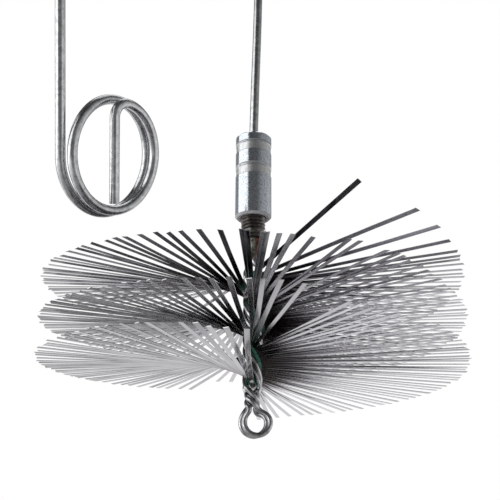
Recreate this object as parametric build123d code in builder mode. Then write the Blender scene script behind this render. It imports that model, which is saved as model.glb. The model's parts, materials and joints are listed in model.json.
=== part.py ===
from build123d import *
import math
import os

os.makedirs("parts", exist_ok=True)

# The origin is on the brush's axis, where the rod wire is held above the ferrule.
# +Z is up, and -Y is the side that the brush is seen from.

# Drop from the place where the rod is held to the ferrule
ferrule_top_drop = 95.1

# Rod wire and its coil
rod_diameter = 4.4
rod_exit_length = 10.0
rod_entry_length = 50.0
coil_radius = 69.8
coil_height = 38.0
coil_layers_apart = 5.4
coil_turns_apart = 5.4
coil_turns = 6.5
coil_facing = 234.1

# How rounded lines are made: the share of a run that an arc takes, and what counts as straight
arc_share = 0.45
straight_angle = 0.05
alike_limit = 1e-9

# Ring handle, bent from the far end of the rod wire
ring_centre_left = 66.69
ring_centre_front = 53.25
ring_centre_drop = 130.75
handle_lean = 27.66
handle_side_lean = 1.07
handle_neck_length = 12.0
handle_line_length = 90.0
ring_radius = 25.66
ring_sweep = 620.0
ring_step = 77.5
ring_turns_apart = 5.81
ring_tightening = 1.37
ring_facing = 54.11
ring_bend_radius = 6.45
ring_stub_gap = 0.5

# Ferrule, its bush and the wire end crimped in it
ferrule_diameter = 18.0
ferrule_length = 44.1
ferrule_top_chamfer = 0.6
ferrule_bottom_chamfer = 1.0
crimp_width = 5.1
crimp_depth = 0.3
crimp_slope = 0.25
crimp_line_width = 0.4
crimp_line_depth = 0.35
crimp_lip_width = 0.35
crimp_drops = (4.4, 17.1)
bush_diameter = 11.0
bush_length = 22.0
wire_end_length = 21.0
socket_depth = 17.2

# Threaded stud and the braze below it
thread_diameter = 12.0
thread_pitch = 1.75
thread_depth = 1.07
thread_crest_share = 0.125
thread_clearance = 0.05
stud_engagement = 13.0
stud_reach = 11.3
stud_threaded_reach = 7.3
stud_neck_length = 2.3
stud_chamfer = 0.7
stud_bore_depth = 9.0
wire_insertion = 8.0
braze_gap = 0.05
braze_length = 11.0
braze_top_diameter = 9.6
braze_bottom_diameter = 7.4

# Twisted core of two folded wires, with their eye
core_wire_diameter = 2.5
core_fit_clearance = 0.05
twist_pitch = 38.0
core_along = 1.46
core_off = 3.15
neck_along = 1.42
opening_length = 6.0
helix_drop = 35.8
throat_along = 1.78
throat_closing = 3.6
throat_length = 5.8
eye_radius = 5.9
eye_drop = 16.65
eye_side = 1.6
eye_stagger = 0.8
eye_spacing = 2.7
eye_angle = 630.0
twist_step = 50.0

# Plastic filler strips
strip_width = 11.0
strip_inner = 1.25
strip_thickness = 0.55
strip_overhang = 0.7
strip_step = 15.0
strip_first_angle = -25.0
strip_end_width = 7.0
strip_taper_length = 26.0

# Flat bristle wires: their spacing is an angle and how many wires follow it up to the next
brush_radius = 100.0
bristle_width = 2.2
bristle_thickness = 0.22
bundle_count = 8
lead_spacing = ((-65, 1), (-47, 1), (-38, 1), (-30, 1), (-25, 16), (20, 20), (92, 4), (105, 1), (112, 1))
main_spacing = ((115, 1), (122, 38), (225, 13), (272, 2), (281, 1), (291, 10), (326, 16), (365, 12))
last_spacing = ((405, 12), (448, 1))
wire_spacing = lead_spacing + main_spacing + last_spacing
first_angle = wire_spacing[0][0]
last_angle = wire_spacing[-1][0]
length_spread_share = 0.012
length_wave_steps = (2.4, 1.3)
angle_spread = 0.6
angle_wave_steps = (1.7, 2.1)
slice_clearance = 0.02
root_inset = 0.3

# How far a tip stands above its root, as a share of the brush's radius, by the wire's angle
near_top_rise_shares = ((-65, 0.098), (-47, 0.071), (-38, 0.044), (-30, 0.03), (-25, 0.019), (-5, 0.003))
near_middle_rise_shares = ((225, -0.005), (250, 0.0), (276, 0.009), (282, 0.007), (291, -0.039))
near_side_rise_shares = ((300, -0.038), (326, -0.016), (365, -0.026), (405, -0.002))
near_low_rise_shares = ((424, 0.008), (436, 0.016), (448, 0.01))
near_upper_rise_shares = near_top_rise_shares + near_middle_rise_shares
near_rise_shares = near_upper_rise_shares + near_side_rise_shares + near_low_rise_shares
far_top_rise_shares = ((-65, 0.0), (66, 0.001), (92, 0.007), (105, 0.009), (112, 0.027), (128, 0.02))
far_middle_rise_shares = ((146, -0.018), (225, 0.0), (272, 0.04), (281, 0.046), (291, 0.002), (365, 0.004))
far_low_rise_shares = ((418, 0.026), (435, 0.022), (440, 0.009), (448, 0.0))
far_rise_shares = far_top_rise_shares + far_middle_rise_shares + far_low_rise_shares

# How far the first blades are turned about their own length, in degrees
near_rolls = ((-65, -36), (-47, -20), (-38, -15), (-30, -8), (-25, 0), (448, 0))

# Bands that tie the coil
tie_width = 5.0
tie_thickness = 1.2
tie_bite = 0.05
tie_angles = (90.0, 200.0, 340.0)


# Directions and heights that several pieces share

def level(angle):
    """The level direction at an angle from +X towards +Y."""
    return Vector(math.cos(math.radians(angle)), math.sin(math.radians(angle)), 0)


up = Vector(0, 0, 1)
rod_radius = rod_diameter / 2
ferrule_top = -ferrule_top_drop
ferrule_bottom = ferrule_top - ferrule_length
stud_bottom = ferrule_bottom - stud_reach


def join_arc(start, corner, end):
    """One arc from start to end, leaving start towards the corner."""
    slope = (corner - start).get_angle(end - start)
    if slope < straight_angle:
        Line(start, end)
        return
    middle = (start + end) * 0.5
    rise = (end - start).length / 2 * math.tan(math.radians(slope) / 2)
    ThreePointArc(start, middle + (corner - middle).normalized() * rise, end)


def smooth_route(stations):
    """A smooth line through places with directions, with two arcs between neighbours."""
    with BuildLine() as route:
        for (start, leaving), (end, arriving) in zip(stations, stations[1:]):
            gap = end - start
            both = leaving.normalized() + arriving.normalized()
            bend = 4 - both.dot(both)
            pull = gap.dot(both)
            if bend < alike_limit:
                reach = gap.dot(gap) / (2 * pull)
            else:
                reach = (math.sqrt(pull * pull + bend * gap.dot(gap)) - pull) / bend
            first_corner = start + leaving.normalized() * reach
            last_corner = end - arriving.normalized() * reach
            meeting = (first_corner + last_corner) * 0.5
            join_arc(start, first_corner, meeting)
            join_arc(meeting, last_corner, end)
    return route.wire()


def cord_route(points):
    """A cord's line: straight runs joined by the largest arcs that the runs allow."""
    runs = [(b - a).length for a, b in zip(points, points[1:])]
    radii = []
    for index in range(len(runs) - 1):
        before = points[index + 1] - points[index]
        after = points[index + 2] - points[index + 1]
        half_turn = math.radians(before.get_angle(after)) / 2
        radii.append(arc_share * min(runs[index], runs[index + 1]) / math.tan(half_turn))
    print("cord arcs", [round(radius, 1) for radius in radii])
    with BuildLine() as route:
        FilletPolyline(*points, radius=radii)
    return route.wire()


def square_to(route):
    """The plane at the start of a line, square to it."""
    return Plane(origin=route @ 0, z_dir=route % 0)


def check_tube(name, solid, route):
    """Prints a rod tube's length, and its volume beside its section times its length."""
    wanted = math.pi * rod_radius ** 2 * route.length
    print(name, "length", round(route.length, 1), "volume share", round(solid.volume / wanted, 4))


# Rod wire: the coil

across = level(coil_facing)
in_front = up.cross(across)
coil_centre = across * coil_radius + up * coil_height
layer_side = in_front * (coil_layers_apart / 2)


def coil_place(turn):
    """Place on the coil's centreline: the loops spiral in, climb a layer and spiral out."""
    half = coil_turns / 2
    radius = coil_radius - coil_turns_apart * (half - abs(turn - half))
    layer_share = min(max((turn - half) * 2, -0.5), 0.5)
    angle = math.radians(360 * turn)
    round_part = up * (radius * math.sin(angle)) - across * (radius * math.cos(angle))
    return coil_centre + round_part - layer_side * (2 * layer_share)


def coil_stations():
    """The coil's quarter turns, each with its direction."""
    nudge = 1 / 720
    stations = []
    for quarter in range(round(4 * coil_turns) + 1):
        turn = quarter / 4
        stations.append((coil_place(turn), coil_place(turn + nudge) - coil_place(turn - nudge)))
    stations[0] = (stations[0][0], up)
    stations[-1] = (stations[-1][0], -up)
    return stations


def least_gap(route):
    """The least gap between two turns of the coil, measured on points along it."""
    samples = 720
    apart = round(samples / coil_turns / 2)
    points = [route @ (index / samples) for index in range(samples + 1)]
    gaps = []
    for index, point in enumerate(points):
        gaps += [(point - other).length for other in points[index + apart:]]
    return min(gaps) - rod_diameter


coil_route = smooth_route(coil_stations())
print("coil's least gap to itself", round(least_gap(coil_route), 3))

with BuildPart() as wire_coil:
    with BuildSketch(square_to(coil_route)):
        Circle(rod_radius)
    sweep(path=coil_route)
wire_coil.part.label = "wire_coil"
check_tube("wire_coil", wire_coil.part, coil_route)
export_step(wire_coil.part, "parts/wire_coil.step")


# Rod wire: the stretch from the ferrule up to the coil

rod_exit = up * ferrule_top
coil_start = coil_place(0)
brush_side_route = cord_route([
    rod_exit,
    rod_exit + up * rod_exit_length,
    coil_start - up * rod_entry_length,
    coil_start,
])

with BuildPart() as wire_brush_side:
    with BuildSketch(square_to(brush_side_route)):
        Circle(rod_radius)
    sweep(path=brush_side_route)
wire_brush_side.part.label = "wire_brush_side"
check_tube("wire_brush_side", wire_brush_side.part, brush_side_route)
export_step(wire_brush_side.part, "parts/wire_brush_side.step")


# Rod wire: the stretch from the coil down to the ring handle

lean = math.radians(handle_lean)
side_lean = math.radians(handle_side_lean)
handle_up = Vector(
    math.sin(side_lean),
    -math.sin(lean) * math.cos(side_lean),
    math.cos(lean) * math.cos(side_lean),
)
plain_right = (Vector(1, 0, 0) - handle_up * handle_up.X).normalized()
plain_back = handle_up.cross(plain_right)
facing = math.radians(ring_facing)
ring_right = plain_right * math.cos(facing) + plain_back * math.sin(facing)
ring_front = ring_right.cross(handle_up)
ring_centre = Vector(-ring_centre_left, -ring_centre_front, -ring_centre_drop)


def ring_place(angle):
    """Place on the ring's centreline at an angle from its right side, up over its top."""
    turns = (angle - 180) / 360
    radius = ring_radius - ring_tightening * turns
    flat = ring_right * math.cos(math.radians(angle)) + handle_up * math.sin(math.radians(angle))
    return ring_centre + flat * radius + ring_front * (ring_turns_apart * turns)


ring_start = ring_place(180)
neck_top = ring_start + handle_up * handle_neck_length
coil_end = coil_place(coil_turns)
handle_side_route = cord_route([
    coil_end,
    coil_end - up * rod_entry_length,
    ring_start + handle_up * handle_line_length,
    neck_top,
])

with BuildPart() as wire_handle_side:
    with BuildSketch(square_to(handle_side_route)):
        Circle(rod_radius)
    sweep(path=handle_side_route)
wire_handle_side.part.label = "wire_handle_side"
check_tube("wire_handle_side", wire_handle_side.part, handle_side_route)
export_step(wire_handle_side.part, "parts/wire_handle_side.step")


# Ring handle: a neck, nearly two turns, and a stub bent in across the ring

def ring_stations():
    """The ring's places and directions, from its neck to the end of its stub."""
    nudge = 1 / 4
    steps = round(ring_sweep / ring_step)
    stations = [(neck_top, -handle_up), (ring_start, -handle_up)]
    for step in range(1, steps + 1):
        angle = 180 + ring_sweep * step / steps
        stations.append((ring_place(angle), ring_place(angle + nudge) - ring_place(angle - nudge)))
    place, direction = stations[-1]
    inward = -direction.normalized().cross(ring_front).normalized()
    bend_centre = place + inward * ring_bend_radius
    bend_end = bend_centre - ring_right * ring_bend_radius
    stations.append((bend_end, -handle_up))
    turns = ring_sweep / 360
    inner_bottom = ring_radius - ring_tightening * turns - rod_radius - ring_stub_gap
    drop = (bend_end - ring_centre).dot(handle_up) + inner_bottom
    stations.append((bend_end - handle_up * drop, -handle_up))
    return stations


ring_route = smooth_route(ring_stations())

with BuildPart() as ring_handle:
    with BuildSketch(square_to(ring_route)):
        Circle(rod_radius)
    sweep(path=ring_route)
ring_handle.part.label = "ring_handle"
check_tube("ring_handle", ring_handle.part, ring_route)
export_step(ring_handle.part, "parts/ring_handle.step")


# Ties: closed bands round the coil's bundle of loops

def tie_section(angle):
    """Middle radius, and half the size inwards and across, of the bundle at an angle."""
    turns = [angle / 360 + whole for whole in range(math.ceil(coil_turns))]
    radii = []
    for turn in turns:
        if turn <= coil_turns:
            radii.append(coil_radius - coil_turns_apart * (coil_turns / 2 - abs(turn - coil_turns / 2)))
    half_in = (max(radii) - min(radii)) / 2 + rod_radius - tie_bite
    half_across = coil_layers_apart / 2 + rod_radius - tie_bite
    return (max(radii) + min(radii)) / 2, half_in, half_across


for number, tie_angle in enumerate(tie_angles):
    middle_radius, half_in, half_across = tie_section(tie_angle)
    turn = math.radians(tie_angle)
    outwards = up * math.sin(turn) - across * math.cos(turn)
    onwards = outwards.cross(in_front)
    tie_plane = Plane(origin=coil_centre + outwards * middle_radius, x_dir=outwards, z_dir=onwards)
    with BuildPart() as coil_tie:
        with BuildSketch(tie_plane):
            RectangleRounded(
                2 * (half_in + tie_thickness),
                2 * (half_across + tie_thickness),
                rod_radius + tie_thickness,
            )
            RectangleRounded(2 * half_in, 2 * half_across, rod_radius, mode=Mode.SUBTRACT)
        extrude(amount=tie_width / 2, both=True)
    coil_tie.part.label = f"coil_tie_{number + 1}"
    export_step(coil_tie.part, f"parts/coil_tie_{number + 1}.step")


# Ferrule: a turned tube with two rolled crimps

def ferrule_outline():
    """The ferrule's half outline, from the top of its bore round its outside."""
    radius = ferrule_diameter / 2
    points = [(0, ferrule_top), (radius - ferrule_top_chamfer, ferrule_top)]
    points.append((radius, ferrule_top - ferrule_top_chamfer))
    for drop in crimp_drops:
        line_top = ferrule_top - drop
        line_bottom = line_top - crimp_line_width
        band_top = line_bottom - crimp_lip_width
        band_bottom = line_top - crimp_width
        points.append((radius, line_top))
        points.append((radius - crimp_line_depth, (line_top + line_bottom) / 2))
        points.append((radius, line_bottom))
        points.append((radius, band_top))
        points.append((radius - crimp_depth, band_top - crimp_slope))
        points.append((radius - crimp_depth, band_bottom + crimp_slope))
        points.append((radius, band_bottom))
    points.append((radius, ferrule_bottom + ferrule_bottom_chamfer))
    points.append((radius - ferrule_bottom_chamfer, ferrule_bottom))
    points.append((0, ferrule_bottom))
    return points


stud_radius = thread_diameter / 2
socket_radius = stud_radius + thread_clearance

with BuildPart() as ferrule:
    with BuildSketch(Plane.XZ):
        with BuildLine():
            Polyline(*ferrule_outline(), close=True)
        make_face()
    revolve(axis=Axis.Z)
    with BuildSketch(Plane.XY.offset(ferrule_top)):
        Circle(bush_diameter / 2)
    extrude(amount=-bush_length, mode=Mode.SUBTRACT)
    with BuildSketch(Plane.XY.offset(ferrule_bottom)):
        Circle(socket_radius)
    extrude(amount=socket_depth, mode=Mode.SUBTRACT)
    mouth = ferrule.edges().filter_by(GeomType.CIRCLE).group_by(Axis.Z)[0].sort_by(SortBy.RADIUS)[0]
    chamfer(mouth, length=stud_chamfer)
ferrule.part.label = "ferrule"
export_step(ferrule.part, "parts/ferrule.step")


# Crimp bush: fills the space between the rod wire and the ferrule

with BuildPart() as crimp_bush:
    with BuildSketch(Plane.XY.offset(ferrule_top)):
        Circle(bush_diameter / 2)
    extrude(amount=-bush_length)
    with BuildSketch(Plane.XY.offset(ferrule_top)):
        Circle(rod_radius)
    extrude(amount=-wire_end_length, mode=Mode.SUBTRACT)
crimp_bush.part.label = "crimp_bush"
export_step(crimp_bush.part, "parts/crimp_bush.step")


# Rod wire: the end that is crimped in the ferrule

with BuildPart() as wire_end:
    with BuildSketch(Plane.XY.offset(ferrule_top)):
        Circle(rod_radius)
    extrude(amount=-wire_end_length)
wire_end.part.label = "wire_end"
export_step(wire_end.part, "parts/wire_end.step")


# Threaded stud: ridges at the thread's pitch, a plain neck and a rim

neck_radius = math.hypot(neck_along, neck_along) + core_wire_diameter / 2
stud_top = ferrule_bottom + stud_engagement


def stud_outline():
    """The stud's half outline, from its top down its ridges to its lower rim."""
    root = stud_radius - thread_depth
    crest_half = thread_pitch * thread_crest_share / 2
    thread_bottom = ferrule_bottom - stud_threaded_reach
    points = [(0, stud_top), (root, stud_top)]
    ridges = math.floor((stud_top - thread_bottom) / thread_pitch)
    for ridge in range(ridges):
        middle = stud_top - thread_pitch * (ridge + 1 / 2)
        points.append((stud_radius, middle + crest_half))
        points.append((stud_radius, middle - crest_half))
        points.append((root, middle - thread_pitch / 2 + crest_half))
        points.append((root, middle - thread_pitch / 2))
    rim_top = thread_bottom - stud_neck_length
    points.append((root, rim_top + stud_chamfer))
    points.append((stud_radius, rim_top))
    points.append((stud_radius, stud_bottom + stud_chamfer))
    points.append((stud_radius - stud_chamfer, stud_bottom))
    points.append((0, stud_bottom))
    return points


with BuildPart() as threaded_stud:
    with BuildSketch(Plane.XZ):
        with BuildLine():
            Polyline(*stud_outline(), close=True)
        make_face()
    revolve(axis=Axis.Z)
    with BuildSketch(Plane.XY.offset(stud_bottom)):
        Circle(neck_radius + core_fit_clearance)
    extrude(amount=stud_bore_depth, mode=Mode.SUBTRACT)
threaded_stud.part.label = "threaded_stud"
export_step(threaded_stud.part, "parts/threaded_stud.step")


# Braze collar: the cone of braze round the core below the stud

braze_top = stud_bottom - braze_gap

with BuildPart() as braze_collar:
    with BuildSketch(Plane.XZ):
        with BuildLine():
            Polyline(
                (neck_radius + core_fit_clearance, braze_top),
                (braze_top_diameter / 2, braze_top),
                (braze_bottom_diameter / 2, braze_top - braze_length),
                (neck_radius + core_fit_clearance, braze_top - braze_length),
                close=True,
            )
        make_face()
    revolve(axis=Axis.Z)
braze_collar.part.label = "braze_collar"
export_step(braze_collar.part, "parts/braze_collar.step")


# Twisted core: two wires, each folded once, twisted left-handed and ending in an eye

zero_height = ferrule_bottom - helix_drop
core_top = stud_bottom + wire_insertion
open_top = zero_height - twist_pitch * first_angle / 360 + strip_overhang
open_bottom = zero_height - twist_pitch * last_angle / 360 - strip_overhang
throat_top = open_bottom - throat_closing
throat_bottom = throat_top - throat_length
eye_height = open_bottom - eye_drop


def twist_angle(height):
    """How far the core is turned at a height: quicker in its throat."""
    angle = -360 * (max(height, throat_top) - zero_height) / twist_pitch
    if height < throat_top:
        angle += (eye_angle - angle) * (throat_top - height) / throat_length
    return angle


def eased(share):
    """A share from 0 to 1 that starts and ends gently."""
    share = min(max(share, 0), 1)
    return share * share * (3 - 2 * share)


def core_place(height, along_side, off_side):
    """Place of a core wire's centreline at a height."""
    in_neck = eased((height - open_top) / opening_length)
    in_throat = eased((open_bottom - height) / throat_closing)
    along = core_along + (neck_along - core_along) * in_neck + (throat_along - core_along) * in_throat
    off = core_off + (neck_along - core_off) * in_neck + (throat_along - core_off) * in_throat
    angle = twist_angle(height)
    return level(angle) * (along * along_side) + level(angle + 90) * (off * off_side) + up * height


def leg_heights():
    """The heights of a leg's stations, from its top to the end of the twist."""
    ends = [core_top, open_top + opening_length, open_top, open_bottom, throat_top, throat_bottom]
    heights = [core_top]
    for start, end in zip(ends, ends[1:]):
        count = math.ceil((twist_angle(end) - twist_angle(start)) / twist_step)
        heights += [start + (end - start) * (index + 1) / count for index in range(count)]
    return heights


def core_stations(along_side):
    """A folded core wire: down one leg, round the eye and up the other leg."""
    nudge = twist_pitch / 2000
    legs = []
    for off_side in (-1, 1):
        leg = []
        for height in leg_heights():
            above = core_place(min(height + nudge, core_top), along_side, off_side)
            below = core_place(max(height - nudge, throat_bottom), along_side, off_side)
            leg.append((core_place(height, along_side, off_side), below - above))
        legs.append(leg)
    eye_middle = Vector(eye_side + along_side * eye_stagger, -along_side * eye_spacing / 2, eye_height)
    right = Vector(1, 0, 0)
    eye = [
        (eye_middle - right * eye_radius, -up),
        (eye_middle - up * eye_radius, right),
        (eye_middle + right * eye_radius, up),
    ]
    return legs[0] + eye + [(place, -direction) for place, direction in reversed(legs[1])]


def make_core_wire(along_side):
    """One folded core wire."""
    route = smooth_route(core_stations(along_side))
    with BuildPart() as core_wire:
        with BuildSketch(square_to(route)):
            Circle(core_wire_diameter / 2)
        sweep(path=route)
    wanted = math.pi * (core_wire_diameter / 2) ** 2 * route.length
    print("core wire length", round(route.length, 1), round(core_wire.part.volume / wanted, 4))
    return core_wire.part


for name, along_side in (("core_wire_a", 1), ("core_wire_b", -1)):
    wire = make_core_wire(along_side)
    wire.label = name
    export_step(wire, f"parts/{name}.step")


# Filler strips: two twisted tapes between the bristles and the core wires

def make_strip(off_side):
    """One twisted tape, narrower near its lower end."""
    top = zero_height - twist_pitch * strip_first_angle / 360 + strip_overhang
    bottom = open_bottom
    count = math.ceil((twist_angle(bottom) - twist_angle(top)) / strip_step)
    with BuildPart() as strip:
        for index in range(count + 1):
            height = top + (bottom - top) * index / count
            angle = twist_angle(height)
            middle = level(angle + 90) * (off_side * (strip_inner + strip_thickness / 2)) + up * height
            taper = min((height - bottom) / strip_taper_length, 1)
            with BuildSketch(Plane(origin=middle, x_dir=level(angle), z_dir=-up)):
                Rectangle(strip_end_width + (strip_width - strip_end_width) * taper, strip_thickness)
        loft(ruled=True)
    return strip.part


for name, off_side in (("filler_strip_a", 1), ("filler_strip_b", -1)):
    strip_part = make_strip(off_side)
    strip_part.label = name
    export_step(strip_part, f"parts/{name}.step")


# Bristles: flat wires through the core, fused to the core's middle in bundles

def bristle_angles():
    """The flat wires' angles, spaced as the brush shows them."""
    angles = []
    for (start, count), (end, following) in zip(wire_spacing, wire_spacing[1:]):
        angles += [start + (end - start) * index / count for index in range(count)]
    return angles + [last_angle]


def read_between(angle, places):
    """A value read between the places of a table."""
    for (low, low_value), (high, high_value) in zip(places, places[1:]):
        if low <= angle <= high:
            return low_value + (high_value - low_value) * (angle - low) / (high - low)
    return 0


def make_half_wire(index, angle, height, far):
    """Half a flat wire, from beside the axis to its tip."""
    rise_share = read_between(angle, far_rise_shares if far else near_rise_shares)
    roll = 0 if far else math.radians(read_between(angle, near_rolls))
    length_wave = math.sin(length_wave_steps[0] * index + length_wave_steps[1] * far)
    angle_wave = math.sin(angle_wave_steps[0] * index + angle_wave_steps[1] * far)
    aim = angle + 180 * far + angle_spread * angle_wave
    length = brush_radius * (1 - length_spread_share * (1 + length_wave) / 2)
    slope = level(aim) * length + up * (brush_radius * rise_share)
    side = level(aim + 90)
    over = slope.normalized().cross(side)
    root = up * height + slope.normalized() * root_inset
    place = Plane(origin=root, x_dir=slope, z_dir=over * math.cos(roll) - side * math.sin(roll))
    half = Box(
        length - root_inset,
        bristle_width,
        bristle_thickness,
        align=(Align.MIN, Align.CENTER, Align.CENTER),
        mode=Mode.PRIVATE,
    )
    return place * half


angles = bristle_angles()
heights = [zero_height - twist_pitch * angle / 360 for angle in angles]
bundle_size = len(angles) // bundle_count
slice_radius = strip_inner - slice_clearance

for bundle in range(bundle_count):
    first = bundle * bundle_size
    last = first + bundle_size - 1
    if bundle == 0:
        slice_top = heights[first] + bristle_thickness
    else:
        slice_top = (heights[first - 1] + heights[first]) / 2
    if bundle == bundle_count - 1:
        slice_bottom = heights[last] - bristle_thickness
    else:
        slice_bottom = (heights[last] + heights[last + 1]) / 2
    half_wires = []
    for index in range(first, last + 1):
        for far in (0, 1):
            half_wires.append(make_half_wire(index, angles[index], heights[index], far))
    with BuildPart() as bristles:
        with BuildSketch(Plane.XY.offset(slice_bottom)):
            Circle(slice_radius)
        extrude(amount=slice_top - slice_bottom)
        add(half_wires)
    bristles.part.label = f"bristles_{bundle + 1}"
    export_step(bristles.part, f"parts/bristles_{bundle + 1}.step")
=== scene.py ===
import json
import math

import bpy
from mathutils import Matrix, Vector, noise


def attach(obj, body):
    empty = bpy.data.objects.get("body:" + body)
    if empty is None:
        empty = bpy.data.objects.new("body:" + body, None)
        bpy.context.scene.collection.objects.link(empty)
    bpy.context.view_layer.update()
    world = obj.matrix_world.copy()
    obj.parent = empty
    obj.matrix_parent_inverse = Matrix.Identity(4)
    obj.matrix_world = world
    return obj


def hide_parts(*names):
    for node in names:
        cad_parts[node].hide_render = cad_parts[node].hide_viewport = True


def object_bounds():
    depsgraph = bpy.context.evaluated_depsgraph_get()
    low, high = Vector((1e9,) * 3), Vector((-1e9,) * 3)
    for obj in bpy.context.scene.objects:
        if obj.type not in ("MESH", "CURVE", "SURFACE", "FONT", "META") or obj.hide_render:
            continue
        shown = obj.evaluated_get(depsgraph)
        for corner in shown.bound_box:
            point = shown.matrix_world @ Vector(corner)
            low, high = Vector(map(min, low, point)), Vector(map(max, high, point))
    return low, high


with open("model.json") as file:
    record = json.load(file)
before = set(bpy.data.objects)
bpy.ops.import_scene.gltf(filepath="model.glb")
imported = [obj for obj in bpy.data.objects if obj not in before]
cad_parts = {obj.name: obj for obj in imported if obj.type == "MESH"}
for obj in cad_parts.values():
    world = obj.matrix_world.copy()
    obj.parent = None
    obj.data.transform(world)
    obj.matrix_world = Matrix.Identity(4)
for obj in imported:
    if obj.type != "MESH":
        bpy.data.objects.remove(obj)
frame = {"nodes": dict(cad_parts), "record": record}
nodes = frame["nodes"]
cad_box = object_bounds()

# Sizes are in millimetres and angles in degrees, apart from the floor, the light and the lamps.
# Heights are measured from the place where the rod wire is held.
MM = 0.001
UP = Vector((0, 0, 1))

# Camera: its place, how far it looks up and how far it is rolled
SENSOR_WIDTH, LENS = 36.0, 66.83
CAMERA_PLACE = Vector((-1.5, -426.0, -311.0))
CAMERA_RISE, CAMERA_ROLL = 20.05, 0.4

# Rod wire: how far it runs straight out of the ferrule, and into and out of the coil
ROD = 4.4
FERRULE_TOP = -95.1
ROD_EXIT, ROD_ENTRY = 10, 50

# Coil: its outer loop, the height of its middle, the side of the rod where it lies, and how far
# its loops and its two layers are apart
COIL_RADIUS, COIL_HEIGHT, COIL_TURNS, COIL_FACING = 69.8, 38.0, 6.5, 234.1
COIL_APART = 5.4
POINTS_A_TURN = 24

# Ring handle: its ring and how far that is turned about the wire, how the wire leans to the front
# and to the right as it goes up, and its straight run above the place where the ring starts
RING_CENTRE = Vector((-66.69, -53.25, -130.75))
RING_RADIUS, RING_FACING = 25.66, 54.11
HANDLE_LEAN, HANDLE_SIDE_LEAN = 27.66, 1.07
HANDLE_RUN_TOP, HANDLE_RUN_END = 90, 11.6

# Ferrule: the top and the width of each dull band, and the band's soft edge and depth
BANDS = ((-99.5, 5.2), (-111.8, 5.6))
BAND_EDGE, BAND_DEPTH = 0.45, 0.16

# Half the width of the painted lip line at the top of each band, a line of painted light and shade,
# and the ferrule's cut end, which is painted near white as painted light
PAINTED_LIP_HALF = 0.15
CUT_TOP, CUT_EDGE = -138.1, 0.2

# Turned forms: how many flat sides they have round the axis
TURNED_SIDES = 72

# Threaded stud: its thread with flattened crests, its plain neck and its rim
STUD_TOP, STUD_BOTTOM = -126.2, -150.5
THREAD_END, RIM_TOP = -146.5, -148.8
STUD_RADIUS, THREAD_DEPTH, THREAD_PITCH, RIM_BEVEL = 6.0, 1.07, 1.75, 0.7
RIDGE_PEAK, RIDGE_SLOPE = 1.12, 2.3
STUD_ROWS = 150

# Braze: its cone, how fine and how high its two kinds of lumps are, and their share of its radius
BRAZE_TOP, BRAZE_BOTTOM = -150.55, -161.55
BRAZE_TOP_RADIUS, BRAZE_BOTTOM_RADIUS = 4.8, 3.7
BRAZE_LUMPS = ((0.45, 0.5), (1.1, 0.25))
LUMP_LOW, LUMP_HIGH = -1, 0.75
PLAIN_SHARE, LUMP_SHARE = 0.94, 0.08
BRAZE_ROWS = 40

# Filler strips: near black above the first height and green below the second
DARK_ABOVE, GREEN_BELOW = -178.0, -186.0

# Bristles: flat wires in a left-handed spiral that has angle nought at the zero height.
# Each wire is a near blade at its own angle and a far blade on the other side of the axis. A blade
# starts a little off the axis and has a ring of corners at each of some shares of its length.
BRUSH_RADIUS, PITCH, ZERO_HEIGHT = 100.0, 38.0, -175.0
BLADE_WIDTH, BLADE_THICKNESS, BLADE_EDGE = 2.2, 0.22, 0.11
ROOT_INSET = 0.3
BLADE_SHARES = (0, 0.25, 0.5, 0.75, 1)

# An angle, and how many wires stand from there up to the next angle
LEAD_SPACING = ((-65, 1), (-47, 1), (-38, 1), (-30, 1), (-25, 16), (20, 20), (92, 4), (105, 1), (112, 1))
MAIN_SPACING = ((115, 1), (122, 38), (225, 13), (272, 2), (281, 1), (291, 10), (326, 16), (365, 12))
SPACING = LEAD_SPACING + MAIN_SPACING + ((405, 12), (448, 1))

# A wire's angle, and how far its tip stands above its root as a share of the brush's radius
NEAR_RISE_SHARES = (
    (-65, 0.098), (-47, 0.071), (-38, 0.044), (-30, 0.03), (-25, 0.019), (-5, 0.003),
    (225, -0.005), (250, 0.0), (276, 0.009), (282, 0.007), (291, -0.039), (300, -0.038),
    (326, -0.016), (365, -0.026), (405, -0.002), (424, 0.008), (436, 0.016), (448, 0.01),
)
FAR_RISE_SHARES = (
    (-65, 0.0), (66, 0.001), (92, 0.007), (105, 0.009), (112, 0.027), (128, 0.02), (146, -0.018),
    (225, 0.0), (272, 0.04), (281, 0.046), (291, 0.002), (365, 0.004),
    (418, 0.026), (435, 0.022), (440, 0.009), (448, 0.0),
)

# A wire's angle, and how far its near blade is rolled
NEAR_ROLLS = ((-65, -38), (-47, -32), (-38, -27), (-30, -20), (-25, -10), (-15, 0), (448, 0))

# A wire's angle, and how much lighter or darker than the rest its blade is painted, as painted light
# and shade where the room and the other tiers light it more or less
NEAR_PAINTED_SHADES = ((-65, 0), (80, 0), (110, -0.4), (250, -0.4), (275, 0.2), (290, 0.45), (448, 0.45))
FAR_PAINTED_SHADES = ((-65, -0.12), (80, -0.12), (110, 0.5), (260, 0.5), (290, -0.25), (448, -0.25))

# A wire's angle, and how far its far blade is turned aside, for the blades in front of the braze
FRONT_TURNS = (
    (77, 0), (81.2, 1.3), (84.8, 2.5), (88.4, -0.1), (92, 0.05), (95.25, -2.4), (98.5, -2.9),
    (101.75, -3.2), (105, -1.8), (112, 0),
)

# Unevenness of the blades: how much it is, and its steps from wire to wire and from near to far,
# in radians. The length's is a share of the radius. The slant is the cut's at the tip.
LENGTH_SPREAD, LENGTH_STEPS = 0.012, (2.4, 1.3)
AIM_SPREAD, AIM_STEPS = 0.6, (1.7, 2.1)
ROLL_SPREAD, ROLL_STEPS = 4, (3.1, 1.9)
SLANT_SPREAD, SLANT_STEPS = 0.5, (5.3, 0.7)
BOW_SPREAD, BOW_STEPS = 0.5, (4.3, 2.9)
TONE_SEED = 7

# Floor, in metres: its reach, how far it lies below the object, and the middle of its dim part,
# which widens towards the front by the slant
FLOOR_REACH, FLOOR_DROP = 3.0, 0.12
DIM_MIDDLE, DIM_SLANT = 0.03, 0.8

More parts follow.
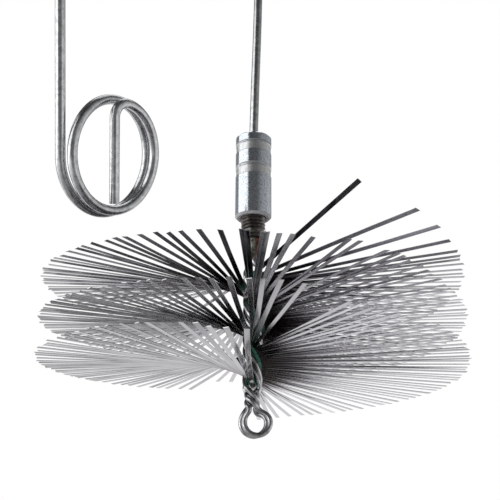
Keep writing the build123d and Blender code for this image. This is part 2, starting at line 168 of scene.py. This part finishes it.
# Smooth steps, each from one place to another and from one strength to another: how metal sees
# the floor from front to back and outward from below the object, the camera's share of plain white
# on the floor, and the background's light towards the back, the right and the top
FLOOR_BACKWARD = (-0.42, 0.02, 0.19, 0.95)
FLOOR_OUTWARD = (0.42, 0.56, 0.4, 1.0)
WHITE_OUTWARD = (0.5, 1.5, 0.7, 1.0)
LIGHT_BACKWARD = (-0.3, 0.7, 0.185, 0.5)
LIGHT_RIGHTWARD = (0.3, 0.95, 0.0, 0.4)
LIGHT_UPWARD = (0.1, 0.7, 1.0, 0.3)

# Lamps, in metres and watts: name, place, width and height, and power
LAMP_AIM = Vector((0, 0, -0.19))
LAMPS = (
    ("left_box", Vector((-0.85, -0.28, -0.02)), (1.25, 1.3), 7.6),
    ("top_box", Vector((0.1, 0.25, 0.95)), (0.8, 0.8), 2.5),
)


# Camera: below the brush, looking up at it

camera_data = bpy.data.cameras.new("camera")
camera_data.sensor_width = SENSOR_WIDTH
camera_data.lens = LENS
camera = bpy.data.objects.new("camera", camera_data)
bpy.context.collection.objects.link(camera)
camera.matrix_world = (
    Matrix.Translation(CAMERA_PLACE * MM)
    @ Matrix.Rotation(math.radians(90 + CAMERA_RISE), 4, "X")
    @ Matrix.Rotation(math.radians(CAMERA_ROLL), 4, "Z")
)
bpy.context.scene.camera = camera


# Shared helpers

def level(angle):
    """The level direction at an angle from +X towards +Y."""
    return Vector((math.cos(math.radians(angle)), math.sin(math.radians(angle)), 0))


def ring_faces(first, rings, sides):
    """The faces between rings of corners that follow one another."""
    faces = []
    for ring in range(rings - 1):
        low = first + ring * sides
        for side in range(sides):
            after = (side + 1) % sides
            faces.append((low + side, low + after, low + sides + after, low + sides + side))
    return faces


def link(name, data, body, material):
    """A new piece of the object, riding on a body."""
    piece = bpy.data.objects.new(name, data)
    bpy.context.collection.objects.link(piece)
    data.materials.append(material)
    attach(piece, body)
    return piece


class Nodes:
    """A node tree, with short ways to add to it."""

    def __init__(self, tree):
        self.tree = tree

    def node(self, kind, **values):
        """A new node with some of its settings."""
        made = self.tree.nodes.new(kind)
        for key, value in values.items():
            setattr(made, key, value)
        return made

    def join(self, source, target):
        """A link from one socket to another."""
        self.tree.links.new(source, target)

    def place(self, axis, space="Object"):
        """The place or the direction along an axis."""
        coordinates = self.node("ShaderNodeTexCoord")
        split = self.node("ShaderNodeSeparateXYZ")
        self.join(coordinates.outputs[space], split.inputs["Vector"])
        return split.outputs[axis]

    def math(self, operation, first, second=0.0):
        """What an operation makes of two values, each a socket or a number."""
        step = self.node("ShaderNodeMath", operation=operation)
        for socket, value in zip(step.inputs, (first, second)):
            if isinstance(value, (int, float)):
                socket.default_value = value
            else:
                self.join(value, socket)
        return step.outputs[0]

    def remap(self, source, low, high, to_low, to_high, kind):
        """A value carried over from one range to another."""
        step = self.node("ShaderNodeMapRange", interpolation_type=kind)
        step.inputs["From Min"].default_value = low
        step.inputs["From Max"].default_value = high
        step.inputs["To Min"].default_value = to_low
        step.inputs["To Max"].default_value = to_high
        self.join(source, step.inputs["Value"])
        return step.outputs["Result"]

    def spread(self, source, low, high, to_low=0.0, to_high=1.0):
        """A smooth step from one value to another."""
        return self.remap(source, low, high, to_low, to_high, "SMOOTHSTEP")

    def mix_shaders(self, share, first, second, target):
        """Two shaders, mixed by a share and joined to a socket."""
        mix = self.node("ShaderNodeMixShader")
        self.join(share, mix.inputs["Fac"])
        self.join(first, mix.inputs[1])
        self.join(second, mix.inputs[2])
        self.join(mix.outputs["Shader"], target)


class Look(Nodes):
    """A principled material."""

    def __init__(self, name, metallic, roughness, color):
        self.material = bpy.data.materials.new(name)
        self.material.use_nodes = True
        super().__init__(self.material.node_tree)
        self.shader = self.tree.nodes["Principled BSDF"]
        self.shader.inputs["Metallic"].default_value = metallic
        self.shader.inputs["Roughness"].default_value = roughness
        self.shader.inputs["Base Color"].default_value = (*color, 1)

    def feed(self, source, socket_name):
        """A link from a socket to one of the shader's own."""
        self.join(source, self.shader.inputs[socket_name])

    def noise(self, scale, detail=4.0, roughness=0.55, stretch=(1, 1, 1)):
        """Noise over the object's own place, in units of 1/scale metres."""
        coordinates = self.node("ShaderNodeTexCoord")
        mapping = self.node("ShaderNodeMapping")
        mapping.inputs["Scale"].default_value = stretch
        texture = self.node("ShaderNodeTexNoise")
        texture.inputs["Scale"].default_value = scale
        texture.inputs["Detail"].default_value = detail
        texture.inputs["Roughness"].default_value = roughness
        self.join(coordinates.outputs["Object"], mapping.inputs["Vector"])
        self.join(mapping.outputs["Vector"], texture.inputs["Vector"])
        return texture.outputs["Fac"]

    def stored(self, name):
        """A value stored on the mesh."""
        return self.node("ShaderNodeAttribute", attribute_name=name).outputs["Fac"]

    def ramp(self, source, *stops):
        """A colour read from stops, each a factor and a colour."""
        ramp = self.node("ShaderNodeValToRGB")
        elements = ramp.color_ramp.elements
        while len(elements) < len(stops):
            elements.new(0.5)
        for element, (factor, color) in zip(elements, stops):
            element.position = factor
            element.color = (*color, 1)
        self.join(source, ramp.inputs["Fac"])
        return ramp.outputs["Color"]

    def paint(self, source, *stops):
        """A base colour from a ramp."""
        self.feed(self.ramp(source, *stops), "Base Color")

    def rough(self, source, low, high):
        """A roughness that follows the middle range of a factor."""
        self.feed(self.remap(source, 0.3, 0.7, low, high, "LINEAR"), "Roughness")

    def blend(self, share, first, second):
        """Two colours, each a socket or a colour, mixed by a share."""
        mix = self.node("ShaderNodeMix", data_type="RGBA")
        self.join(share, mix.inputs[0])
        for socket, color in ((mix.inputs[6], first), (mix.inputs[7], second)):
            if isinstance(color, tuple):
                socket.default_value = (*color, 1)
            else:
                self.join(color, socket)
        return mix.outputs[2]

    def bumped(self, source, distance, strength, over=None):
        """A surface direction with the source's height, laid over another where one is given."""
        bump = self.node("ShaderNodeBump")
        bump.inputs["Distance"].default_value = distance
        bump.inputs["Strength"].default_value = strength
        self.join(source, bump.inputs["Height"])
        if over:
            self.join(over, bump.inputs["Normal"])
        return bump.outputs["Normal"]

    def bump(self, source, distance, strength, over=None):
        """The shader's own surface direction, with the source's height."""
        self.feed(self.bumped(source, distance, strength, over), "Normal")


# Materials

def galvanised_wire():
    """Zinc coat with soft blotches."""
    look = Look("galvanised_wire", 1.0, 0.24, (0.6, 0.61, 0.62))
    blotches = look.noise(420.0, 5.0, 0.65)
    dark, middle, light = (0.37, 0.38, 0.39), (0.57, 0.58, 0.59), (0.74, 0.75, 0.76)
    look.paint(blotches, (0.3, dark), (0.52, middle), (0.72, light))
    look.rough(blotches, 0.16, 0.28)
    look.bump(look.noise(900.0, 3.0), 0.06 * MM, 0.35)
    return look.material


def bright_steel():
    """Drawn steel with darker streaks."""
    look = Look("bright_steel", 1.0, 0.14, (0.6, 0.6, 0.61))
    streaks = look.noise(420.0, 4.0, 0.6)
    look.paint(streaks, (0.3, (0.28, 0.28, 0.29)), (0.62, (0.62, 0.62, 0.63)))
    look.rough(streaks, 0.08, 0.16)
    look.bump(look.noise(1100.0, 3.0), 0.04 * MM, 0.3)
    return look.material


def bristle_steel():
    """Steel blades with streaks and a tone partly random and partly painted light and shade, with
    painted shade towards their roots where they crowd round the core, dull at the roots and bright
    where they are cut.
    """
    look = Look("bristle_steel", 1.0, 0.3, (0.36, 0.36, 0.37))
    # The stored value is the blade's tone, partly random and partly painted light and shade by its angle
    tone_and_shade = look.math("MULTIPLY", look.stored("tone_and_shade"), 0.6)
    streaks = look.math("MULTIPLY", look.noise(160.0, 4.0, 0.6), 0.4)
    mixed = look.math("ADD", tone_and_shade, streaks)
    dark, middle, light = (0.19, 0.184, 0.2), (0.41, 0.4, 0.43), (0.67, 0.66, 0.7)
    steel = look.ramp(mixed, (0.1, dark), (0.5, middle), (0.95, light))
    along = look.stored("along")
    # Painted shade: darker towards the roots, where the blades crowd round the core
    root_shaded = look.blend(look.spread(along, 0.02, 0.4), (0.1, 0.08, 0.075), steel)
    look.feed(look.blend(look.stored("cut"), root_shaded, (0.7, 0.7, 0.72)), "Base Color")
    look.feed(look.spread(along, 0.03, 0.09), "Metallic")
    root_rough = look.spread(along, 0.03, 0.09, 0.8, 0.0)
    steel_rough = look.spread(mixed, 0.3, 0.7, 0.1, 0.22)
    look.feed(look.math("MAXIMUM", root_rough, steel_rough), "Roughness")
    return look.material


def band_marks(look, height):
    """Where the ferrule's dull bands are, and where the painted lip lines of light and shade at their
    tops are.
    """
    band, painted_lip = 0.0, 0.0
    for top, width in BANDS:
        above = look.spread(height, (top - width) * MM, (top - width + BAND_EDGE) * MM)
        below = look.spread(height, (top - BAND_EDGE) * MM, top * MM, 1.0, 0.0)
        band = look.math("MAXIMUM", band, look.math("MULTIPLY", above, below))
        # Painted light and shade: a thin matte grey line at each band's top, at the groove's lip
        over = look.spread(height, (top + PAINTED_LIP_HALF) * MM, (top + 2 * PAINTED_LIP_HALF) * MM, 1.0, 0.0)
        under = look.spread(height, (top - 2 * PAINTED_LIP_HALF) * MM, (top - PAINTED_LIP_HALF) * MM)
        painted_lip = look.math("MAXIMUM", painted_lip, look.math("MULTIPLY", over, under))
    return band, painted_lip


def ferrule_steel():
    """Plated steel, polished, with two dull crimped bands, a painted lip line of light and shade at
    the top of each, and a cut end painted near white as painted light.
    """
    look = Look("ferrule_steel", 1.0, 0.2, (0.6, 0.62, 0.66))
    specks = look.noise(1300.0, 5.0, 0.75)
    dark, middle, light = (0.36, 0.4, 0.46), (0.7, 0.74, 0.8), (0.86, 0.88, 0.92)
    polished = look.ramp(specks, (0.36, dark), (0.56, middle), (0.72, light))
    scuffs = look.noise(500.0, 4.0, 0.7, (2.5, 2.5, 0.6))
    dull = look.ramp(scuffs, (0.3, (0.53, 0.54, 0.545)), (0.7, (0.87, 0.88, 0.885)))
    height = look.place("Z")
    band, painted_lip = band_marks(look, height)
    # Painted light: the cut end is painted near white and matte, standing in for light from above
    painted_light_end = look.spread(height, (CUT_TOP - CUT_EDGE) * MM, CUT_TOP * MM, 1.0, 0.0)
    color = look.blend(painted_light_end, look.blend(band, polished, dull), (0.95, 0.96, 0.98))
    # The matte grey lip lines are painted light and shade
    look.feed(look.blend(painted_lip, color, (0.5, 0.51, 0.52)), "Base Color")
    painted_zones = look.math("MAXIMUM", painted_light_end, painted_lip)
    look.feed(look.math("SUBTRACT", 1.0, painted_zones), "Metallic")
    band_rough = look.spread(band, 0.0, 1.0, 0.15, 0.42)
    look.feed(look.math("MAXIMUM", band_rough, look.math("MULTIPLY", painted_zones, 0.5)), "Roughness")
    raised = look.math("SUBTRACT", 1.0, band)
    look.bump(specks, 0.03 * MM, 0.3, look.bumped(raised, BAND_DEPTH * MM, 1.0))
    return look.material


def stud_steel():
    """Dark steel with brown stains."""
    look = Look("stud_steel", 0.9, 0.36, (0.1, 0.09, 0.085))
    stains = look.noise(520.0, 5.0, 0.65)
    dark, middle, light = (0.07, 0.062, 0.06), (0.18, 0.165, 0.155), (0.42, 0.4, 0.39)
    look.paint(stains, (0.35, dark), (0.55, middle), (0.72, light))
    look.rough(stains, 0.26, 0.44)
    return look.material


def braze_metal():
    """Braze that is grey on the left and copper red on the right."""
    look = Look("braze_metal", 0.75, 0.42, (0.15, 0.08, 0.06))
    stains = look.noise(420.0, 5.0, 0.6)
    dark, middle, light = (0.05, 0.022, 0.02), (0.26, 0.1, 0.075), (0.6, 0.42, 0.36)
    red = look.ramp(stains, (0.38, dark), (0.55, middle), (0.66, light))
    dark, middle, light = (0.09, 0.085, 0.07), (0.4, 0.39, 0.33), (0.85, 0.86, 0.8)
    grey = look.ramp(stains, (0.38, dark), (0.55, middle), (0.66, light))
    strayed = look.math("MULTIPLY", look.math("SUBTRACT", stains, 0.5), 4 * MM)
    side = look.math("ADD", look.place("X"), strayed)
    look.feed(look.blend(look.spread(side, 0.4 * MM, 1.6 * MM), grey, red), "Base Color")
    look.rough(stains, 0.3, 0.55)
    look.bump(look.noise(700.0, 4.0), 0.3 * MM, 0.6)
    return look.material


def strip_plastic():
    """Green plastic, near black in its upper part."""
    look = Look("strip_plastic", 0.0, 0.22, (0.01, 0.16, 0.1))
    green = look.ramp(look.noise(350.0, 3.0), (0.35, (0.05, 0.17, 0.11)), (0.7, (0.2, 0.55, 0.4)))
    darker_above = look.spread(look.place("Z"), GREEN_BELOW * MM, DARK_ABOVE * MM)
    look.feed(look.blend(darker_above, green, (0.012, 0.016, 0.015)), "Base Color")
    return look.material


def tie_plastic():
    """Black plastic of the coil's ties."""
    look = Look("tie_plastic", 0.0, 0.5, (0.03, 0.03, 0.03))
    grain = look.noise(900.0, 3.0)
    look.paint(grain, (0.3, (0.02, 0.02, 0.02)), (0.7, (0.045, 0.045, 0.045)))
    look.rough(grain, 0.42, 0.6)
    return look.material


def bush_metal():
    """Plain metal of the bush and of the wire's end inside the ferrule."""
    look = Look("bush_metal", 1.0, 0.35, (0.5, 0.5, 0.5))
    look.paint(look.noise(700.0, 3.0), (0.3, (0.42, 0.42, 0.42)), (0.7, (0.56, 0.56, 0.56)))
    return look.material


rod_look = galvanised_wire()
looks = {
    "rod_wire": rod_look,
    "handle_wire": rod_look,
    "ferrule_steel": ferrule_steel(),
    "bush_metal": bush_metal(),
    "tie_plastic": tie_plastic(),
    "stud_steel": stud_steel(),
    "braze": braze_metal(),
    "core_steel": bright_steel(),
    "strip_plastic": strip_plastic(),
    "bristle_steel": bristle_steel(),
}

for subpart in frame["record"]["subparts"]:
    node = nodes[subpart["node"]]
    node.data.materials.clear()
    node.data.materials.append(looks[subpart["material_slot"]])


# Rod wire: one cord from the ferrule, round its coil and down to the ring handle

across = level(COIL_FACING)
layer_side = UP.cross(across) * (COIL_APART / 2)


def coil_place(turn):
    """Place on the coil's centreline: the loops spiral in, change their layer and spiral out."""
    half = COIL_TURNS / 2
    radius = COIL_RADIUS - COIL_APART * (half - abs(turn - half))
    layer_share = min(max((turn - half) * 2, -0.5), 0.5)
    angle = math.radians(360 * turn)
    round_part = UP * (radius * math.sin(angle)) - across * (radius * math.cos(angle))
    return across * COIL_RADIUS + UP * COIL_HEIGHT + round_part - layer_side * (2 * layer_share)


def handle_directions():
    """The direction up along the handle's wire, and the one to the right across its ring."""
    lean, side_lean = math.radians(HANDLE_LEAN), math.radians(HANDLE_SIDE_LEAN)
    facing = math.radians(RING_FACING)
    front = -math.sin(lean) * math.cos(side_lean)
    upward = Vector((math.sin(side_lean), front, math.cos(lean) * math.cos(side_lean)))
    plain_right = (Vector((1, 0, 0)) - upward * upward.x).normalized()
    return upward, plain_right * math.cos(facing) + upward.cross(plain_right) * math.sin(facing)


handle_up, ring_right = handle_directions()
ring_start = RING_CENTRE - ring_right * RING_RADIUS
ferrule_top = Vector((0, 0, FERRULE_TOP))
turn_points = round(POINTS_A_TURN * COIL_TURNS)
route = [ferrule_top, ferrule_top + UP * ROD_EXIT, coil_place(0) - UP * ROD_ENTRY]
route += [coil_place(COIL_TURNS * index / turn_points) for index in range(turn_points + 1)]
route += [coil_place(COIL_TURNS) - UP * ROD_ENTRY]
route += [ring_start + handle_up * HANDLE_RUN_TOP, ring_start + handle_up * HANDLE_RUN_END]

cord_data = bpy.data.curves.new("rod_wire", "CURVE")
cord_data.dimensions = "3D"
spline = cord_data.splines.new("NURBS")
spline.points.add(len(route) - 1)
for point, place in zip(spline.points, route):
    point.co = (*(place * MM), 1)
spline.order_u = 3
spline.use_endpoint_u = True
spline.resolution_u = 6
cord_data.bevel_depth = ROD / 2 * MM
cord_data.bevel_resolution = 7
cord_data.use_fill_caps = True
rod_wire = link("rod_wire_cord", cord_data, "rod", rod_look)
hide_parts("wire_brush_side", "wire_coil", "wire_handle_side")


# Bristles: the flat wires, each blade thin with a slanting cut at its tip

def bristle_angles():
    """The flat wires' angles, spaced as the brush shows them."""
    angles = []
    for (start, count), (end, _) in zip(SPACING, SPACING[1:]):
        angles += [start + (end - start) * index / count for index in range(count)]
    return angles + [SPACING[-1][0]]


def read_between(angle, places):
    """A value read between the places of a table, and nought beyond its ends."""
    for (low, low_value), (high, high_value) in zip(places, places[1:]):
        if low <= angle <= high:
            return low_value + (high_value - low_value) * (angle - low) / (high - low)
    return 0


def wave(steps, index, far):
    """A value from -1 to 1 that differs from blade to blade."""
    return math.sin(steps[0] * index + steps[1] * far)


def blade_directions(index, angle, far):
    """A blade's length, and its directions out to the tip, across it and through it."""
    rise = BRUSH_RADIUS * read_between(angle, FAR_RISE_SHARES if far else NEAR_RISE_SHARES)
    turn = read_between(angle, FRONT_TURNS) if far else 0
    aim = angle + 180 * far + (turn or AIM_SPREAD * wave(AIM_STEPS, index, far))
    length = BRUSH_RADIUS * (1 - LENGTH_SPREAD * (1 + wave(LENGTH_STEPS, index, far)) / 2)
    onward = (level(aim) * length + UP * rise).normalized()
    tier_roll = 0 if far else read_between(angle, NEAR_ROLLS)
    roll = math.radians(ROLL_SPREAD * wave(ROLL_STEPS, index, far) + tier_roll)
    side = level(aim + 90) * math.cos(roll) + onward.cross(level(aim + 90)) * math.sin(roll)
    return length, onward, side, onward.cross(side)


def add_blade(blades, index, angle, far):
    """One blade: rings of a thin section with bevelled edges, from beside the axis to the tip."""
    verts, faces, stored = blades
    length, onward, side, over = blade_directions(index, angle, far)
    slant = SLANT_SPREAD * wave(SLANT_STEPS, index, far)
    bow = BOW_SPREAD * wave(BOW_STEPS, index, far)
    root = UP * (ZERO_HEIGHT - PITCH * angle / 360)
    half_width, half_thick = BLADE_WIDTH / 2, BLADE_THICKNESS / 2
    flat = half_width - BLADE_EDGE
    section = (
        (-half_width, 0), (-flat, half_thick), (flat, half_thick),
        (half_width, 0), (flat, -half_thick), (-flat, -half_thick),
    )
    first = len(verts)
    # A random tone, plus painted light and shade read from the wire's angle
    tone_and_shade = noise.random() + read_between(angle, FAR_PAINTED_SHADES if far else NEAR_PAINTED_SHADES)
    for share in BLADE_SHARES:
        sway = bow * 4 * share * (1 - share)
        for sideways, thick in section:
            reach = ROOT_INSET + (length - ROOT_INSET) * share
            if share == 1:
                reach -= abs(slant) + slant * sideways / half_width
            verts.append((root + onward * reach + side * (sideways + sway) + over * thick) * MM)
            stored.append((share, tone_and_shade))
    faces.extend(ring_faces(first, len(BLADE_SHARES), len(section)))
    faces.append(tuple(range(len(verts) - len(section), len(verts))))


noise.seed_set(TONE_SEED)
blades = ([], [], [])
for index, angle in enumerate(bristle_angles()):
    for far in (0, 1):
        add_blade(blades, index, angle, far)
blade_verts, blade_faces, blade_values = blades
blade_mesh = bpy.data.meshes.new("bristle_blades")
blade_mesh.from_pydata(blade_verts, [], blade_faces)
for number, name in enumerate(("along", "tone_and_shade")):
    values = blade_mesh.attributes.new(name, "FLOAT", "POINT")
    values.data.foreach_set("value", [pair[number] for pair in blade_values])
cut = blade_mesh.attributes.new("cut", "FLOAT", "FACE")
cut.data.foreach_set("value", [1.0 if len(face) > 4 else 0.0 for face in blade_faces])
bristle_blades = link("bristle_blades", blade_mesh, "brush", looks["bristle_steel"])
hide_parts(*(f"bristles_{number}" for number in range(1, 9)))


# Turned forms: the threaded stud and the braze

def turned_mesh(name, bottom, top, rows, radius_at):
    """A closed mesh round the vertical axis whose radius follows a function."""
    verts = []
    for row in range(rows + 1):
        height = bottom + (top - bottom) * row / rows
        for side in range(TURNED_SIDES):
            angle = 360 * side / TURNED_SIDES
            verts.append((level(angle) * radius_at(angle, height) + UP * height) * MM)
    faces = ring_faces(0, rows + 1, TURNED_SIDES)
    faces.append(tuple(range(TURNED_SIDES))[::-1])
    faces.append(tuple(range(rows * TURNED_SIDES, len(verts))))
    mesh = bpy.data.meshes.new(name)
    mesh.from_pydata(verts, [], faces)
    mesh.update()
    for polygon in mesh.polygons:
        polygon.use_smooth = len(polygon.vertices) == 4
    return mesh


def stud_radius(angle, height):
    """The stud's radius: the thread as a helix that runs out above the neck, and the rim below."""
    root = STUD_RADIUS - THREAD_DEPTH
    if height < RIM_TOP + RIM_BEVEL:
        if height < STUD_BOTTOM + RIM_BEVEL:
            return STUD_RADIUS - RIM_BEVEL + (height - STUD_BOTTOM)
        return min(STUD_RADIUS, root + THREAD_DEPTH * (RIM_TOP + RIM_BEVEL - height) / RIM_BEVEL)
    phase = (height / THREAD_PITCH - angle / 360) % 1
    ridge = min(max(RIDGE_PEAK - RIDGE_SLOPE * abs(phase - 0.5), 0), 1)
    run_out = min(max((height - THREAD_END) / THREAD_PITCH, 0), 1)
    return root + THREAD_DEPTH * ridge * run_out


def braze_radius(angle, height):
    """The braze's radius: a cone with the lumps of its flow."""
    share = (height - BRAZE_BOTTOM) / (BRAZE_TOP - BRAZE_BOTTOM)
    plain_radius = BRAZE_BOTTOM_RADIUS + (BRAZE_TOP_RADIUS - BRAZE_BOTTOM_RADIUS) * share
    place = level(angle) * plain_radius + UP * height
    lumps = sum(noise.noise(place * fineness) * lump for fineness, lump in BRAZE_LUMPS)
    return plain_radius * (PLAIN_SHARE + LUMP_SHARE * max(min(lumps, LUMP_HIGH), LUMP_LOW))


stud_mesh = turned_mesh("stud_thread", STUD_BOTTOM, STUD_TOP, STUD_ROWS, stud_radius)
stud = link("stud_thread", stud_mesh, "brush", looks["stud_steel"])
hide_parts("threaded_stud")

braze_mesh = turned_mesh("braze_lumps", BRAZE_BOTTOM, BRAZE_TOP, BRAZE_ROWS, braze_radius)
braze = link("braze_lumps", braze_mesh, "collar", looks["braze"])
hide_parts("braze_collar")


# Floor

def floor_material():
    """Pale to the room and white to the camera, with a faint shadow below the object.
    To metal it glows as painted light: dim in front of the object, with a painted shadow below it,
    and bright at the sides and behind."""
    look = Look("floor", 0.0, 0.9, (0.8, 0.8, 0.8))
    ray = look.node("ShaderNodeLightPath")
    coordinates = look.node("ShaderNodeTexCoord")
    away = look.node("ShaderNodeVectorMath", operation="LENGTH")
    look.join(coordinates.outputs["Object"], away.inputs[0])
    off_middle = look.math("SUBTRACT", look.place("X"), DIM_MIDDLE)
    aside = look.math("MULTIPLY", look.math("ABSOLUTE", off_middle), DIM_SLANT)
    backward = look.spread(look.math("ADD", look.place("Y"), aside), *FLOOR_BACKWARD)
    lit = look.math("MULTIPLY", backward, look.spread(away.outputs["Value"], *FLOOR_OUTWARD))
    # Painted light: a glow that metal sees, with a painted shadow below the object
    glow = look.node("ShaderNodeEmission")
    look.join(look.math("MAXIMUM", ray.outputs["Is Camera Ray"], lit), glow.inputs["Strength"])
    white = look.spread(away.outputs["Value"], *WHITE_OUTWARD)
    to_camera = look.math("MULTIPLY", ray.outputs["Is Camera Ray"], white)
    share = look.math("MAXIMUM", to_camera, ray.outputs["Is Glossy Ray"])
    surface = look.tree.nodes["Material Output"].inputs["Surface"]
    look.mix_shaders(share, look.shader.outputs["BSDF"], glow.outputs["Emission"], surface)
    return look.material


floor_mesh = bpy.data.meshes.new("floor")
floor_height = cad_box[0].z - FLOOR_DROP
corner_signs = ((-1, -1), (1, -1), (1, 1), (-1, 1))
corners = [(FLOOR_REACH * x, FLOOR_REACH * y, floor_height) for x, y in corner_signs]
floor_mesh.from_pydata(corners, [], [(0, 1, 2, 3)])
floor_mesh.materials.append(floor_material())
floor = bpy.data.objects.new("floor", floor_mesh)
bpy.context.collection.objects.link(floor)


# Background and light

def background_light(world):
    """White to the camera. As light it is stronger behind and to the right, and weaker above."""
    world.use_nodes = True
    sky = Nodes(world.node_tree)
    sky.tree.nodes.clear()
    behind = sky.spread(sky.place("Y", "Generated"), *LIGHT_BACKWARD)
    right = sky.spread(sky.place("X", "Generated"), *LIGHT_RIGHTWARD)
    overhead = sky.spread(sky.place("Z", "Generated"), *LIGHT_UPWARD)
    light = sky.node("ShaderNodeBackground")
    white = sky.node("ShaderNodeBackground")
    for background in (light, white):
        background.inputs["Color"].default_value = (1, 1, 1, 1)
        background.inputs["Strength"].default_value = 1.0
    strength = sky.math("MULTIPLY", sky.math("ADD", behind, right), overhead)
    sky.join(strength, light.inputs["Strength"])
    to_camera = sky.node("ShaderNodeLightPath").outputs["Is Camera Ray"]
    surface = sky.node("ShaderNodeOutputWorld").inputs["Surface"]
    sky.mix_shaders(to_camera, light.outputs["Background"], white.outputs["Background"], surface)


world = bpy.data.worlds.new("world")
bpy.context.scene.world = world
background_light(world)

for name, place, (width, tall), power in LAMPS:
    lamp_data = bpy.data.lights.new(name, "AREA")
    lamp_data.shape = "RECTANGLE"
    lamp_data.size = width
    lamp_data.size_y = tall
    lamp_data.energy = power
    lamp = bpy.data.objects.new(name, lamp_data)
    bpy.context.collection.objects.link(lamp)
    lamp.location = place
    lamp.rotation_mode = "QUATERNION"
    lamp.rotation_quaternion = (LAMP_AIM - place).to_track_quat("-Z", "Y")

bpy.context.scene.view_settings.view_transform = "Standard"
